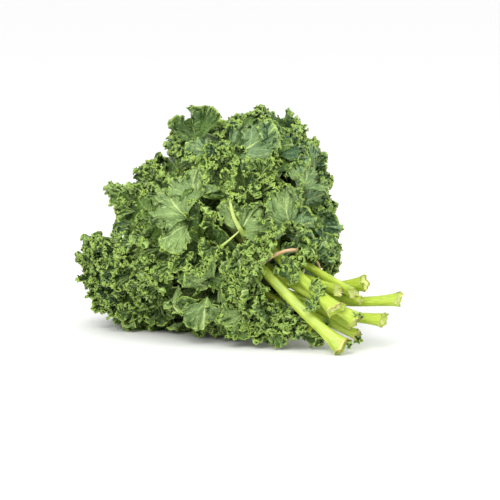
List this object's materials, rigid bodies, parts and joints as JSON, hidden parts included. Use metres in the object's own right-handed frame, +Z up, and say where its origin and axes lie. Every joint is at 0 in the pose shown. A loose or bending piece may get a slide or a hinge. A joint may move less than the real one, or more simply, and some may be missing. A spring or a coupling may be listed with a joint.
{
  "type": "kale bunch",
  "caption": "Bunch of curly kale lying on its side: frilled lobed blades in a rounded dome, pale ribbed stalks splayed from a rubber band to their cut ends.",
  "frame": {"origin": "on the surface the bunch lies on, under the middle of its bounding box", "axes": "+X along the bunch towards the cut ends of the stalks, +Z up"},
  "size_m": [0.3225, 0.2537, 0.2301],
  "materials": {
    "leaf": "satin, dark blue-green with paler yellow-green edges and veins",
    "stalk": "waxy pale yellow-green, cut ends whitish and fibrous",
    "rubber_band": "dull tan"
  },
  "bodies": {
    "root": {"leaf_01_stalk": "stalk", "leaf_01_blade": "leaf", "leaf_02_stalk": "stalk", "leaf_02_blade": "leaf", "leaf_03_stalk": "stalk", "leaf_03_blade": "leaf", "leaf_04_stalk": "stalk", "leaf_04_blade": "leaf", "leaf_05_stalk": "stalk", "leaf_05_blade": "leaf", "leaf_06_stalk": "stalk", "leaf_06_blade": "leaf", "leaf_07_stalk": "stalk", "leaf_07_blade": "leaf", "leaf_08_stalk": "stalk", "leaf_08_blade": "leaf", "leaf_09_stalk": "stalk", "leaf_09_blade": "leaf", "leaf_10_stalk": "stalk", "leaf_10_blade": "leaf", "leaf_11_stalk": "stalk", "leaf_11_blade": "leaf", "leaf_12_stalk": "stalk", "leaf_12_blade": "leaf", "leaflet_01": "leaf", "leaflet_02": "leaf", "leaflet_03": "leaf", "leaflet_04": "leaf", "leaflet_05": "leaf", "rubber_band": "rubber_band"}
  },
  "joints": []
}
